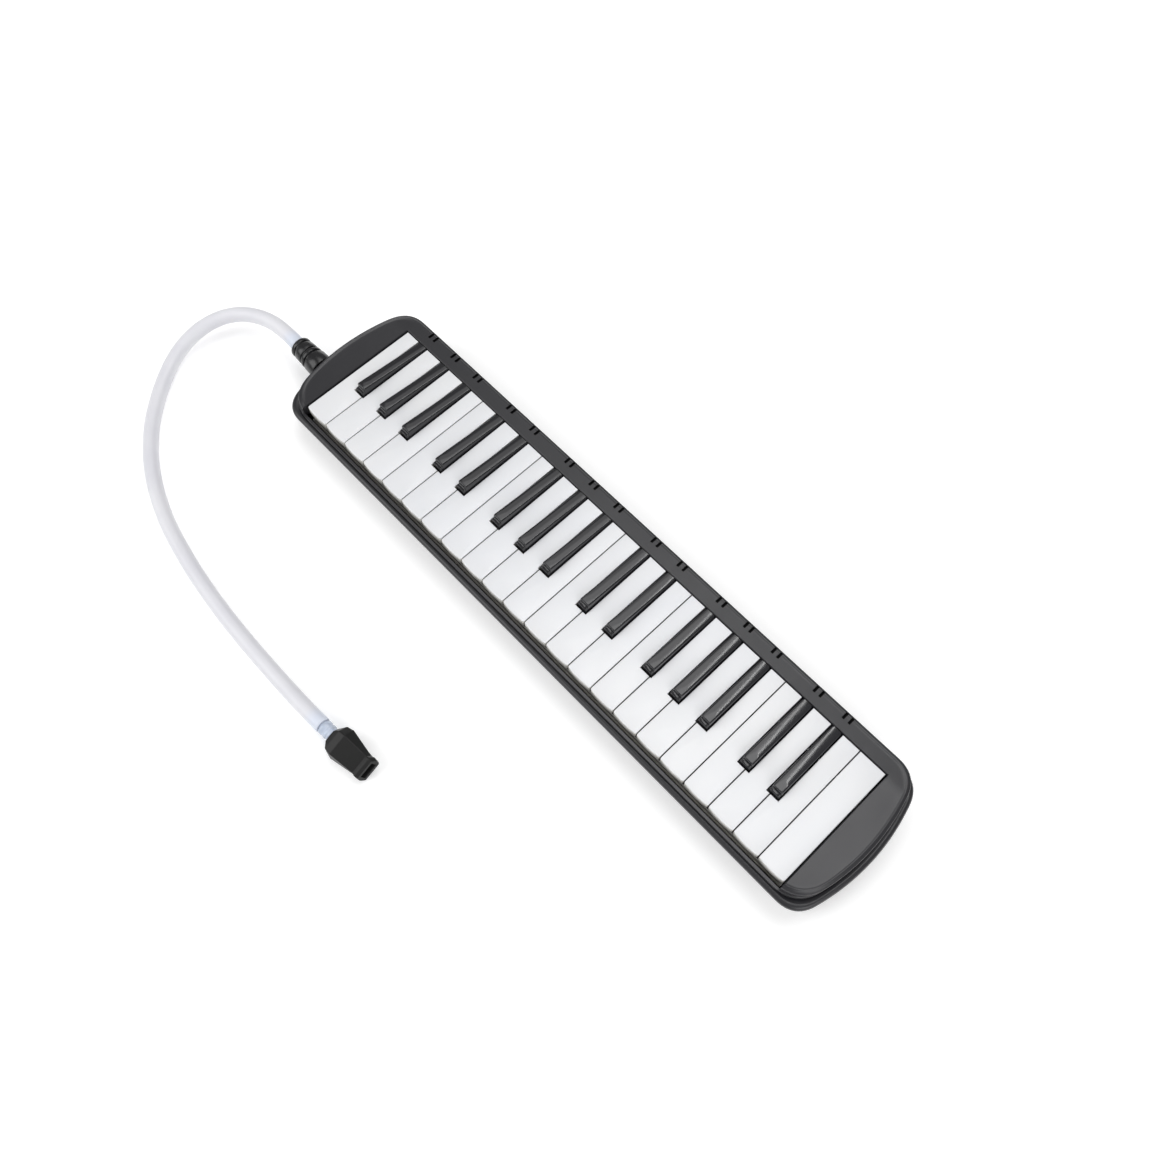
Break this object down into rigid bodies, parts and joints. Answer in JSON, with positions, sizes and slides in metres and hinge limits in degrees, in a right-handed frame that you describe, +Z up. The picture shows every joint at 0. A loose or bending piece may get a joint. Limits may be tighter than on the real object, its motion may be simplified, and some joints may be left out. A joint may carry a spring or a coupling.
{
  "type": "melodica",
  "caption": "Free-reed keyboard wind instrument with piano-style keys, a black case, and a flexible blow hose that ends in a flat black mouthpiece.",
  "frame": {"origin": "on the table under the middle of the body, leaving out the hose set", "axes": "+X along the keyboard to the treble end, +Y from the key fronts to the rear edge, +Z up"},
  "size_m": [0.5085, 0.2103, 0.039],
  "materials": {
    "case_plastic": "satin-gloss moulded black",
    "white_key_plastic": "smooth gloss white",
    "black_key_plastic": "satin-gloss black",
    "fitting_plastic": "satin black",
    "mouthpiece_plastic": "satin black",
    "hose_vinyl": "milky translucent soft vinyl",
    "clear_vinyl": "clear bluish plastic",
    "inner_plastic": "plain moulded",
    "steel": "bright drawn steel",
    "reed_brass": "plain rolled brass",
    "felt": "dense felt",
    "seal_rubber": "soft rubber"
  },
  "bodies": {
    "case": {"lower_case": "case_plastic", "top_cover": "case_plastic", "key_frame": "inner_plastic", "key_rest_felt": "felt", "key_pivot_rod": "steel", "key_springs": "steel", "reed_chamber": "inner_plastic", "chamber_cover": "inner_plastic", "reed_plate_low": "reed_brass", "reed_plate_high": "reed_brass", "blow_socket": "case_plastic", "drain_spring": "steel", "case_screw_1": "steel", "case_screw_2": "steel", "case_screw_3": "steel", "case_screw_4": "steel", "case_screw_5": "steel"},
    "hose_set": {"hose_plug": "fitting_plastic", "hose": "hose_vinyl", "hose_connector": "clear_vinyl", "mouthpiece": "mouthpiece_plastic"},
    "drain": {"drain_button": "fitting_plastic", "drain_seal": "seal_rubber"},
    "white_key_01": {"white_key_01": "white_key_plastic"},
    "white_key_02": {"white_key_02": "white_key_plastic"},
    "white_key_03": {"white_key_03": "white_key_plastic"},
    "white_key_04": {"white_key_04": "white_key_plastic"},
    "white_key_05": {"white_key_05": "white_key_plastic"},
    "white_key_06": {"white_key_06": "white_key_plastic"},
    "white_key_07": {"white_key_07": "white_key_plastic"},
    "white_key_08": {"white_key_08": "white_key_plastic"},
    "white_key_09": {"white_key_09": "white_key_plastic"},
    "white_key_10": {"white_key_10": "white_key_plastic"},
    "white_key_11": {"white_key_11": "white_key_plastic"},
    "white_key_12": {"white_key_12": "white_key_plastic"},
    "white_key_13": {"white_key_13": "white_key_plastic"},
    "white_key_14": {"white_key_14": "white_key_plastic"},
    "white_key_15": {"white_key_15": "white_key_plastic"},
    "white_key_16": {"white_key_16": "white_key_plastic"},
    "white_key_17": {"white_key_17": "white_key_plastic"},
    "white_key_18": {"white_key_18": "white_key_plastic"},
    "white_key_19": {"white_key_19": "white_key_plastic"},
    "white_key_20": {"white_key_20": "white_key_plastic"},
    "white_key_21": {"white_key_21": "white_key_plastic"},
    "white_key_22": {"white_key_22": "white_key_plastic"},
    "black_key_01": {"black_key_01": "black_key_plastic"},
    "black_key_02": {"black_key_02": "black_key_plastic"},
    "black_key_03": {"black_key_03": "black_key_plastic"},
    "black_key_04": {"black_key_04": "black_key_plastic"},
    "black_key_05": {"black_key_05": "black_key_plastic"},
    "black_key_06": {"black_key_06": "black_key_plastic"},
    "black_key_07": {"black_key_07": "black_key_plastic"},
    "black_key_08": {"black_key_08": "black_key_plastic"},
    "black_key_09": {"black_key_09": "black_key_plastic"},
    "black_key_10": {"black_key_10": "black_key_plastic"},
    "black_key_11": {"black_key_11": "black_key_plastic"},
    "black_key_12": {"black_key_12": "black_key_plastic"},
    "black_key_13": {"black_key_13": "black_key_plastic"},
    "black_key_14": {"black_key_14": "black_key_plastic"},
    "black_key_15": {"black_key_15": "black_key_plastic"}
  },
  "joints": [
    {"name": "white_key_01_press", "type": "hinge", "parent": "case", "child": "white_key_01", "pos_m": [0, 0.02, 0.024], "axis": [1, 0, 0], "range_deg": [0, 3.2], "stiffness_Nm_per_rad": 0.25, "springref_deg": -4.58},
    {"name": "white_key_02_press", "type": "hinge", "parent": "case", "child": "white_key_02", "pos_m": [0, 0.02, 0.024], "axis": [1, 0, 0], "range_deg": [0, 3.2], "stiffness_Nm_per_rad": 0.25, "springref_deg": -4.58},
    {"name": "white_key_03_press", "type": "hinge", "parent": "case", "child": "white_key_03", "pos_m": [0, 0.02, 0.024], "axis": [1, 0, 0], "range_deg": [0, 3.2], "stiffness_Nm_per_rad": 0.25, "springref_deg": -4.58},
    {"name": "white_key_04_press", "type": "hinge", "parent": "case", "child": "white_key_04", "pos_m": [0, 0.02, 0.024], "axis": [1, 0, 0], "range_deg": [0, 3.2], "stiffness_Nm_per_rad": 0.25, "springref_deg": -4.58},
    {"name": "white_key_05_press", "type": "hinge", "parent": "case", "child": "white_key_05", "pos_m": [0, 0.02, 0.024], "axis": [1, 0, 0], "range_deg": [0, 3.2], "stiffness_Nm_per_rad": 0.25, "springref_deg": -4.58},
    {"name": "white_key_06_press", "type": "hinge", "parent": "case", "child": "white_key_06", "pos_m": [0, 0.02, 0.024], "axis": [1, 0, 0], "range_deg": [0, 3.2], "stiffness_Nm_per_rad": 0.25, "springref_deg": -4.58},
    {"name": "white_key_07_press", "type": "hinge", "parent": "case", "child": "white_key_07", "pos_m": [0, 0.02, 0.024], "axis": [1, 0, 0], "range_deg": [0, 3.2], "stiffness_Nm_per_rad": 0.25, "springref_deg": -4.58},
    {"name": "white_key_08_press", "type": "hinge", "parent": "case", "child": "white_key_08", "pos_m": [0, 0.02, 0.024], "axis": [1, 0, 0], "range_deg": [0, 3.2], "stiffness_Nm_per_rad": 0.25, "springref_deg": -4.58},
    {"name": "white_key_09_press", "type": "hinge", "parent": "case", "child": "white_key_09", "pos_m": [0, 0.02, 0.024], "axis": [1, 0, 0], "range_deg": [0, 3.2], "stiffness_Nm_per_rad": 0.25, "springref_deg": -4.58},
    {"name": "white_key_10_press", "type": "hinge", "parent": "case", "child": "white_key_10", "pos_m": [0, 0.02, 0.024], "axis": [1, 0, 0], "range_deg": [0, 3.2], "stiffness_Nm_per_rad": 0.25, "springref_deg": -4.58},
    {"name": "white_key_11_press", "type": "hinge", "parent": "case", "child": "white_key_11", "pos_m": [0, 0.02, 0.024], "axis": [1, 0, 0], "range_deg": [0, 3.2], "stiffness_Nm_per_rad": 0.25, "springref_deg": -4.58},
    {"name": "white_key_12_press", "type": "hinge", "parent": "case", "child": "white_key_12", "pos_m": [0, 0.02, 0.024], "axis": [1, 0, 0], "range_deg": [0, 3.2], "stiffness_Nm_per_rad": 0.25, "springref_deg": -4.58},
    {"name": "white_key_13_press", "type": "hinge", "parent": "case", "child": "white_key_13", "pos_m": [0, 0.02, 0.024], "axis": [1, 0, 0], "range_deg": [0, 3.2], "stiffness_Nm_per_rad": 0.25, "springref_deg": -4.58},
    {"name": "white_key_14_press", "type": "hinge", "parent": "case", "child": "white_key_14", "pos_m": [0, 0.02, 0.024], "axis": [1, 0, 0], "range_deg": [0, 3.2], "stiffness_Nm_per_rad": 0.25, "springref_deg": -4.58},
    {"name": "white_key_15_press", "type": "hinge", "parent": "case", "child": "white_key_15", "pos_m": [0, 0.02, 0.024], "axis": [1, 0, 0], "range_deg": [0, 3.2], "stiffness_Nm_per_rad": 0.25, "springref_deg": -4.58},
    {"name": "white_key_16_press", "type": "hinge", "parent": "case", "child": "white_key_16", "pos_m": [0, 0.02, 0.024], "axis": [1, 0, 0], "range_deg": [0, 3.2], "stiffness_Nm_per_rad": 0.25, "springref_deg": -4.58},
    {"name": "white_key_17_press", "type": "hinge", "parent": "case", "child": "white_key_17", "pos_m": [0, 0.02, 0.024], "axis": [1, 0, 0], "range_deg": [0, 3.2], "stiffness_Nm_per_rad": 0.25, "springref_deg": -4.58},
    {"name": "white_key_18_press", "type": "hinge", "parent": "case", "child": "white_key_18", "pos_m": [0, 0.02, 0.024], "axis": [1, 0, 0], "range_deg": [0, 3.2], "stiffness_Nm_per_rad": 0.25, "springref_deg": -4.58},
    {"name": "white_key_19_press", "type": "hinge", "parent": "case", "child": "white_key_19", "pos_m": [0, 0.02, 0.024], "axis": [1, 0, 0], "range_deg": [0, 3.2], "stiffness_Nm_per_rad": 0.25, "springref_deg": -4.58},
    {"name": "white_key_20_press", "type": "hinge", "parent": "case", "child": "white_key_20", "pos_m": [0, 0.02, 0.024], "axis": [1, 0, 0], "range_deg": [0, 3.2], "stiffness_Nm_per_rad": 0.25, "springref_deg": -4.58},
    {"name": "white_key_21_press", "type": "hinge", "parent": "case", "child": "white_key_21", "pos_m": [0, 0.02, 0.024], "axis": [1, 0, 0], "range_deg": [0, 3.2], "stiffness_Nm_per_rad": 0.25, "springref_deg": -4.58},
    {"name": "white_key_22_press", "type": "hinge", "parent": "case", "child": "white_key_22", "pos_m": [0, 0.02, 0.024], "axis": [1, 0, 0], "range_deg": [0, 3.2], "stiffness_Nm_per_rad": 0.25, "springref_deg": -4.58},
    {"name": "black_key_01_press", "type": "hinge", "parent": "case", "child": "black_key_01", "pos_m": [0, 0.02, 0.024], "axis": [1, 0, 0], "range_deg": [0, 3.2], "stiffness_Nm_per_rad": 0.25, "springref_deg": -4.58},
    {"name": "black_key_02_press", "type": "hinge", "parent": "case", "child": "black_key_02", "pos_m": [0, 0.02, 0.024], "axis": [1, 0, 0], "range_deg": [0, 3.2], "stiffness_Nm_per_rad": 0.25, "springref_deg": -4.58},
    {"name": "black_key_03_press", "type": "hinge", "parent": "case", "child": "black_key_03", "pos_m": [0, 0.02, 0.024], "axis": [1, 0, 0], "range_deg": [0, 3.2], "stiffness_Nm_per_rad": 0.25, "springref_deg": -4.58},
    {"name": "black_key_04_press", "type": "hinge", "parent": "case", "child": "black_key_04", "pos_m": [0, 0.02, 0.024], "axis": [1, 0, 0], "range_deg": [0, 3.2], "stiffness_Nm_per_rad": 0.25, "springref_deg": -4.58},
    {"name": "black_key_05_press", "type": "hinge", "parent": "case", "child": "black_key_05", "pos_m": [0, 0.02, 0.024], "axis": [1, 0, 0], "range_deg": [0, 3.2], "stiffness_Nm_per_rad": 0.25, "springref_deg": -4.58},
    {"name": "black_key_06_press", "type": "hinge", "parent": "case", "child": "black_key_06", "pos_m": [0, 0.02, 0.024], "axis": [1, 0, 0], "range_deg": [0, 3.2], "stiffness_Nm_per_rad": 0.25, "springref_deg": -4.58},
    {"name": "black_key_07_press", "type": "hinge", "parent": "case", "child": "black_key_07", "pos_m": [0, 0.02, 0.024], "axis": [1, 0, 0], "range_deg": [0, 3.2], "stiffness_Nm_per_rad": 0.25, "springref_deg": -4.58},
    {"name": "black_key_08_press", "type": "hinge", "parent": "case", "child": "black_key_08", "pos_m": [0, 0.02, 0.024], "axis": [1, 0, 0], "range_deg": [0, 3.2], "stiffness_Nm_per_rad": 0.25, "springref_deg": -4.58},
    {"name": "black_key_09_press", "type": "hinge", "parent": "case", "child": "black_key_09", "pos_m": [0, 0.02, 0.024], "axis": [1, 0, 0], "range_deg": [0, 3.2], "stiffness_Nm_per_rad": 0.25, "springref_deg": -4.58},
    {"name": "black_key_10_press", "type": "hinge", "parent": "case", "child": "black_key_10", "pos_m": [0, 0.02, 0.024], "axis": [1, 0, 0], "range_deg": [0, 3.2], "stiffness_Nm_per_rad": 0.25, "springref_deg": -4.58},
    {"name": "black_key_11_press", "type": "hinge", "parent": "case", "child": "black_key_11", "pos_m": [0, 0.02, 0.024], "axis": [1, 0, 0], "range_deg": [0, 3.2], "stiffness_Nm_per_rad": 0.25, "springref_deg": -4.58},
    {"name": "black_key_12_press", "type": "hinge", "parent": "case", "child": "black_key_12", "pos_m": [0, 0.02, 0.024], "axis": [1, 0, 0], "range_deg": [0, 3.2], "stiffness_Nm_per_rad": 0.25, "springref_deg": -4.58},
    {"name": "black_key_13_press", "type": "hinge", "parent": "case", "child": "black_key_13", "pos_m": [0, 0.02, 0.024], "axis": [1, 0, 0], "range_deg": [0, 3.2], "stiffness_Nm_per_rad": 0.25, "springref_deg": -4.58},
    {"name": "black_key_14_press", "type": "hinge", "parent": "case", "child": "black_key_14", "pos_m": [0, 0.02, 0.024], "axis": [1, 0, 0], "range_deg": [0, 3.2], "stiffness_Nm_per_rad": 0.25, "springref_deg": -4.58},
    {"name": "black_key_15_press", "type": "hinge", "parent": "case", "child": "black_key_15", "pos_m": [0, 0.02, 0.024], "axis": [1, 0, 0], "range_deg": [0, 3.2], "stiffness_Nm_per_rad": 0.25, "springref_deg": -4.58},
    {"name": "drain_push", "type": "slide", "parent": "case", "child": "drain", "axis": [-1, 0, 0], "range_m": [0, 0.0024], "stiffness_N_per_m": 400, "springref_m": -0.001, "deforming": ["drain_spring"]},
    {"name": "hose_pull", "type": "slide", "parent": "case", "child": "hose_set", "axis": [-1, 0, 0], "range_m": [0, 0.02]}
  ]
}
